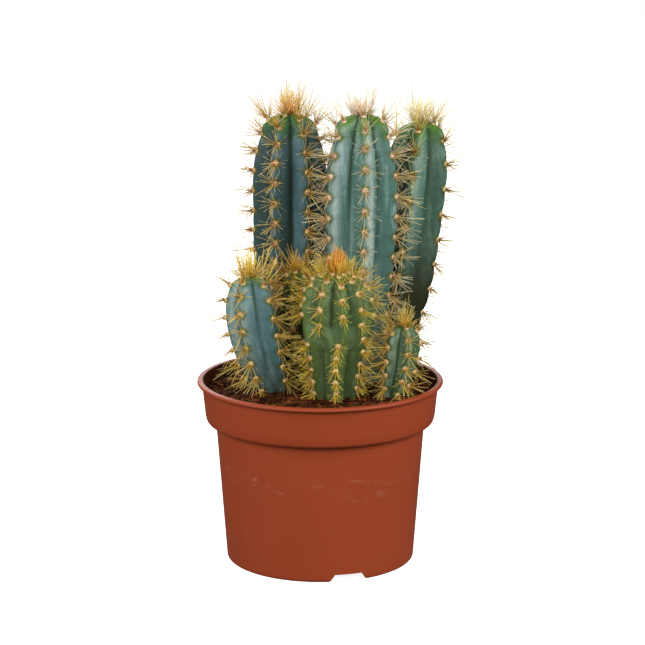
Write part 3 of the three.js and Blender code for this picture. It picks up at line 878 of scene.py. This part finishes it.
# ---------------------------------------------------------------- crown brushes
# The growing tip of each stem is hidden by a brush of young spines. The newest stand upright in a tight
# core, which is the deepest gold or orange, and the ones round it fan out, paler and thinner.
# For each set: root, middle and tip colours, how many, how far they spread in degrees, and length in mm.
BRUSHES = {
    "stem_back_left": {
        "core": (("#e06c00", "#f09020", "#f6c468"), 60, 16, 19),
        "fan": (("#d8a44c", "#e6c484", "#ecd8a8"), 74, 82, 20)},
    "stem_back_middle": {
        "core": (("#f28c44", "#fcbc8c", "#fff0e0"), 50, 20, 15),
        "fan": (("#f2d8ac", "#faecd2", "#fcf6ea"), 80, 84, 17)},
    "stem_back_right": {
        "core": (("#e8b448", "#f4d888", "#f8ecc0"), 54, 20, 22),
        "fan": (("#e0c070", "#ecd898", "#eee0b4"), 80, 82, 22)},
    "stem_front_left": {
        "core": (("#cc8404", "#e8b020", "#f0d064"), 36, 20, 24),
        "fan": (("#d49c20", "#e0bc54", "#e8d084"), 50, 84, 19)},
    "stem_front_middle": {
        "core": (("#a83c00", "#d06404", "#e08c1c"), 100, 10, 20),
        "fan": (("#ac6c04", "#c48c18", "#d0a43c"), 44, 88, 15)},
    "stem_front_right": {
        "core": (("#b47410", "#d49c2c", "#e0b85c"), 28, 24, 14),
        "fan": (("#bc861c", "#d8a83c", "#e2c46c"), 26, 80, 13)},
    "stem_inner_short": {
        "core": (("#a05408", "#c07c18", "#d8a848"), 28, 26, 13),
        "fan": (("#b4780c", "#cc9824", "#dcb450"), 30, 82, 14)},
}
CORE_WIDTH = 0.52 * MM
FAN_WIDTH = 0.38 * MM
GOLDEN_ANGLE = math.radians(137.508)       # by which a growing tip sets out its spines


def brush_needles(flesh, tones, count, spread, length, width, shuffle):
    placements, tints = [], []
    crown_radius = flesh.full_radius * 0.2
    tip = Vector((flesh.rows[0, 2], flesh.rows[0, 3], flesh.crown))
    for i in range(count):
        share = math.sqrt((i + 0.5) / count)
        turn = i * GOLDEN_ANGLE
        lean = math.radians(spread) * share * shuffle.uniform(0.6, 1.2)
        away = Vector((math.sin(turn), -math.cos(turn), 0))
        direction = away * math.sin(lean) + Vector((0, 0, math.cos(lean)))
        sunk = crown_radius * 0.4 * share * share + 0.6 * MM
        start = tip + away * crown_radius * share - Vector((0, 0, sunk))
        spin = Vector((shuffle.uniform(-1, 1), shuffle.uniform(-1, 1), 0.1)).normalized()
        reach = length * MM * shuffle.uniform(0.6, 1.0) * (1.1 - 0.35 * share)
        placements.append(pointed(start, direction, spin, width * shuffle.uniform(0.85, 1.15), reach))
        tints.append(needle_tints(tones, shuffle.uniform(0.8, 1.15)))
    return placements, tints


shuffle = random.Random(23)
for flesh in fleshes:
    node = flesh.stem["node"]
    core_places, core_tints = brush_needles(flesh, *BRUSHES[node]["core"], CORE_WIDTH, shuffle)
    fan_places, fan_tints = brush_needles(flesh, *BRUSHES[node]["fan"], FAN_WIDTH, shuffle)
    brush = set_down("brush_of_" + node, (needle_points, needle_faces), core_places + fan_places,
                     np.concatenate(core_tints + fan_tints))
    brush.data.materials.append(horn)
    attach(brush, "root")

# ---------------------------------------------------------------- potting soil
# Moist peat and coir, tamped into the pot up to about 6 mm under the lip and slightly mounded at the
# stems. A disc is drawn out ring by ring, roughened by layered noise, and carried down inside the wall.
soil_low, soil_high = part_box("potting_soil")
SOIL_SIDES = 300
SOIL_RING_STEP = 1.1 * MM
soil_floor = soil_low.z


def soil_height(x, y):
    """Height of the soil's surface: mounded, lumpy and crumbly."""
    out = math.hypot(x, y) / soil_radius
    mound = soil_high.z - 0.4 * MM - 1.6 * MM * out ** 3
    here = Vector((x, y, 0))
    lumps = noise.noise(here / (17 * MM)) * 0.8 * MM
    clods = noise.noise(here / (5 * MM) + Vector((3, 1, 7))) * 0.75 * MM
    crumbs = noise.noise(here / (1.9 * MM) + Vector((9, 4, 2))) * 0.5 * MM
    return mound + lumps + clods + crumbs


nothing_selected()
bpy.ops.mesh.primitive_circle_add(
    vertices=SOIL_SIDES, radius=SOIL_RING_STEP, fill_type="TRIFAN", location=(0, 0, soil_high.z))
soil = bpy.context.object
soil.name = "peat_and_coir"
bpy.ops.object.mode_set(mode="EDIT")
bpy.ops.mesh.select_mode(type="EDGE")
bpy.ops.mesh.region_to_loop()
rings = round(soil_radius / SOIL_RING_STEP)
ring_step = (soil_radius - SOIL_RING_STEP) / (rings - 1)
soil_wall = [(SOIL_RING_STEP + ring_step * i, soil_high.z) for i in range(rings)]
soil_wall += [
    (BAND_FOOT_RADIUS - WALL - 0.6 * MM, BAND_FOOT + 6 * MM),
    (BODY_TOP_RADIUS - WALL - 0.5 * MM, BAND_FOOT),
    (body_radius(soil_floor) - WALL - 0.6 * MM, soil_floor + 3 * MM),
    (body_radius(0) - WALL - 3 * MM, soil_floor)]
for (radius, height), (next_radius, next_height) in zip(soil_wall, soil_wall[1:]):
    bpy.ops.mesh.extrude_region_move(TRANSFORM_OT_translate={"value": (0, 0, next_height - height)})
    bpy.ops.transform.resize(value=(next_radius / radius, next_radius / radius, 1))
bpy.ops.mesh.edge_face_add()
bpy.ops.mesh.select_all(action="SELECT")
bpy.ops.mesh.normals_make_consistent(inside=False)
bpy.ops.object.mode_set(mode="OBJECT")
bpy.ops.object.transform_apply(location=True, rotation=True, scale=True)
for vertex in soil.data.vertices:
    if vertex.co.z > soil_high.z - 0.1 * MM:
        vertex.co.z = soil_height(vertex.co.x, vertex.co.y)
only(soil)
bpy.ops.object.shade_smooth_by_angle(angle=math.radians(50))

peat, shader = new_material("peat_and_coir")
place = add_node(peat, "ShaderNodeTexCoord").outputs["Object"]
clod = add_node(peat, "ShaderNodeTexNoise", {
    "Vector": place, "Scale": 1 / (6 * MM), "Detail": 6.0, "Roughness": 0.7})
combed = add_node(peat, "ShaderNodeMapping", {"Vector": place, "Scale": (1, 4, 1), "Rotation": (0, 0, 0.7)})
strands = add_node(peat, "ShaderNodeTexNoise", {
    "Vector": combed.outputs[0], "Scale": 1 / (2.6 * MM), "Detail": 4.0})
ramp = add_node(peat, "ShaderNodeValToRGB", {"Fac": clod.outputs["Fac"]})
for element, position, colour in zip(ramp.color_ramp.elements, (0.32, 0.68), ("#1c0b04", "#48230e")):
    element.position = position
    element.color = linear(colour)
strand_mask = add_node(peat, "ShaderNodeMapRange", {
    "Value": strands.outputs["Fac"], "From Min": 0.62, "From Max": 0.74, "To Max": 0.6})
tone = add_node(peat, "ShaderNodeMix", {
    0: strand_mask.outputs[0], 6: ramp.outputs["Color"], 7: linear("#6a3e20")}, data_type="RGBA")
rough = add_node(peat, "ShaderNodeBump", {
    "Height": clod.outputs["Fac"], "Strength": 1.0, "Distance": 1.2 * MM})
peat.node_tree.links.new(tone.outputs[2], shader.inputs["Base Color"])
peat.node_tree.links.new(rough.outputs[0], shader.inputs["Normal"])
shader.inputs["Roughness"].default_value = 0.95
shader.inputs["Specular IOR Level"].default_value = 0.06
soil.data.materials.append(peat)
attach(soil, "root")
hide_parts("potting_soil")

# ---------------------------------------------------------------- crumbs and fibres
# Loose crumbs of peat and bark lie on the surface, with short coir fibres between them. Three broken lumps
# and one bent fibre are modelled and scattered.
CRUMB_KINDS = 3
CRUMB_COUNT = 1500
FIBRE_COUNT = 420
FIBRE_LENGTH = (4, 12)      # mm
stem_feet = [(f.rows[-2, 2], f.rows[-2, 3], f.rows[-2, 0]) for f in fleshes]


def open_spot(shuffle, margin):
    """A random place on the soil that no stem covers."""
    while True:
        turn, out = shuffle.uniform(0, math.tau), math.sqrt(shuffle.random()) * (soil_radius - margin)
        x, y = out * math.sin(turn), out * math.cos(turn)
        if all(math.hypot(x - foot_x, y - foot_y) > radius * 0.85 for foot_x, foot_y, radius in stem_feet):
            return x, y


loose, shader = new_material("loose_peat_and_fibre")
tint = add_node(loose, "ShaderNodeVertexColor", layer_name="tint").outputs["Color"]
place = add_node(loose, "ShaderNodeTexCoord").outputs["Object"]
pitted = add_node(loose, "ShaderNodeTexNoise", {"Vector": place, "Scale": 1 / (0.8 * MM), "Detail": 3.0})
shade = add_node(loose, "ShaderNodeMapRange", {"Value": pitted.outputs["Fac"], "To Min": 0.45, "To Max": 1.5})
crumb_tone = add_node(loose, "ShaderNodeVectorMath", {0: tint, 1: shade.outputs[0]}, operation="MULTIPLY")
loose.node_tree.links.new(crumb_tone.outputs[0], shader.inputs["Base Color"])
shader.inputs["Roughness"].default_value = 0.95
shader.inputs["Specular IOR Level"].default_value = 0.06

shuffle = random.Random(77)
CRUMB_TONES = [linear(c) for c in ("#2a1206", "#3a1b09", "#4c260f", "#5f3315", "#1f0c04", "#6b3e20")]
for kind in range(CRUMB_KINDS):
    nothing_selected()
    bpy.ops.mesh.primitive_ico_sphere_add(subdivisions=2, radius=1)
    lump = bpy.context.object
    for vertex in lump.data.vertices:
        vertex.co *= 1 + 0.55 * noise.noise(vertex.co * 1.3 + Vector((kind * 5, 0, 0)))
    pattern = mesh_points(lump)
    bpy.data.objects.remove(lump)
    placements, tints = [], []
    for _ in range(CRUMB_COUNT // CRUMB_KINDS):
        x, y = open_spot(shuffle, 2 * MM)
        size = 0.45 * MM + 1.3 * MM * shuffle.random() ** 2.6
        turn = shuffle.uniform(0, math.tau)
        axle = Vector((shuffle.random(), shuffle.random(), 1)).normalized()
        spin = Matrix.Rotation(turn, 4, axle)
        long_side = size * shuffle.uniform(0.8, 1.5)
        squash = Matrix.Diagonal((long_side, size, size * shuffle.uniform(0.5, 0.9), 1))
        placements.append(Matrix.Translation((x, y, soil_height(x, y) + size * 0.25)) @ spin @ squash)
        tints.append(np.tile(shuffle.choice(CRUMB_TONES), (len(pattern[0]), 1)))
    crumbs = set_down(f"crumbs_{kind + 1}", pattern, placements, np.concatenate(tints))
    crumbs.data.materials.append(loose)
    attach(crumbs, "root")

FIBRE_TONES = [linear(c) for c in ("#683c1c", "#7c4e2a", "#4c2a14", "#8a6034")]
placements, tints = [], []
for _ in range(FIBRE_COUNT):
    x, y = open_spot(shuffle, 7 * MM)
    length = shuffle.uniform(*FIBRE_LENGTH) * MM
    turn = shuffle.uniform(0, math.tau)
    direction = Vector((math.cos(turn), math.sin(turn), shuffle.uniform(-0.12, 0.22))).normalized()
    start = Vector((x, y, soil_height(x, y) + 0.3 * MM)) - direction * length / 2
    furthest = max(start.xy.length, (start + direction * length).xy.length)
    if furthest > soil_radius - 1 * MM:
        continue
    placements.append(pointed(start, direction, Vector((0, 0, 1)), shuffle.uniform(0.35, 0.6) * MM, length))
    tints.append(np.tile(shuffle.choice(FIBRE_TONES), (len(needle_points), 1)))
fibres = set_down("coir_fibres", (needle_points, needle_faces), placements, np.concatenate(tints))
fibres.data.materials.append(loose)
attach(fibres, "root")

# ---------------------------------------------------------------- floor, light and camera
# A pale seamless floor under even studio light: wide soft boxes at both sides, the right one a little
# brighter, a fill in front and another soft box behind. A long lens looks slightly down.
nothing_selected()
bpy.ops.mesh.primitive_plane_add(size=60, location=(0, 0, 0))
floor = bpy.context.object
floor.name = "floor"
pale, shader = new_material("pale_floor")
shader.inputs["Base Color"].default_value = (0.9, 0.9, 0.9, 1)
shader.inputs["Roughness"].default_value = 0.9
shader.inputs["Emission Color"].default_value = (1, 1, 1, 1)
shader.inputs["Emission Strength"].default_value = 0.87
floor.data.materials.append(pale)
floor.visible_diffuse = False       # the floor throws no light up at the plant
floor.visible_glossy = False

world = bpy.data.worlds.new("studio")
world.use_nodes = True
world.node_tree.nodes["Background"].inputs["Color"].default_value = (1.0, 1.0, 1.0, 1)
world.node_tree.nodes["Background"].inputs["Strength"].default_value = 0.1
bpy.context.scene.world = world


def soft_box(name, place, size, power, aim=(0, 0, 0.17)):
    light = bpy.data.lights.new(name, "AREA")
    light.shape = "RECTANGLE"
    light.size, light.size_y = size
    light.energy = power
    lamp = bpy.data.objects.new(name, light)
    lamp.location = place
    lamp.rotation_euler = (Vector(aim) - Vector(place)).to_track_quat("-Z", "Y").to_euler()
    bpy.context.scene.collection.objects.link(lamp)


soft_box("right_soft_box", (1.6, -0.85, 1.05), (1.3, 1.1), 35)
soft_box("left_soft_box", (-1.6, -0.85, 0.9), (1.3, 1.1), 28)
soft_box("front_fill", (0.1, -2.0, 1.1), (1.4, 0.8), 20)
soft_box("back_soft_box", (-0.4, 1.6, 1.2), (1.6, 0.9), 30)

camera_data = bpy.data.cameras.new("camera")
camera_data.sensor_width = 36
camera_data.lens = 145
camera = bpy.data.objects.new("camera", camera_data)
camera.location = (0.0016, -1.743, 0.564)
camera.rotation_euler = (math.radians(90 - 12.852), 0, 0)
bpy.context.scene.collection.objects.link(camera)
bpy.context.scene.camera = camera
bpy.context.scene.view_settings.view_transform = "Standard"
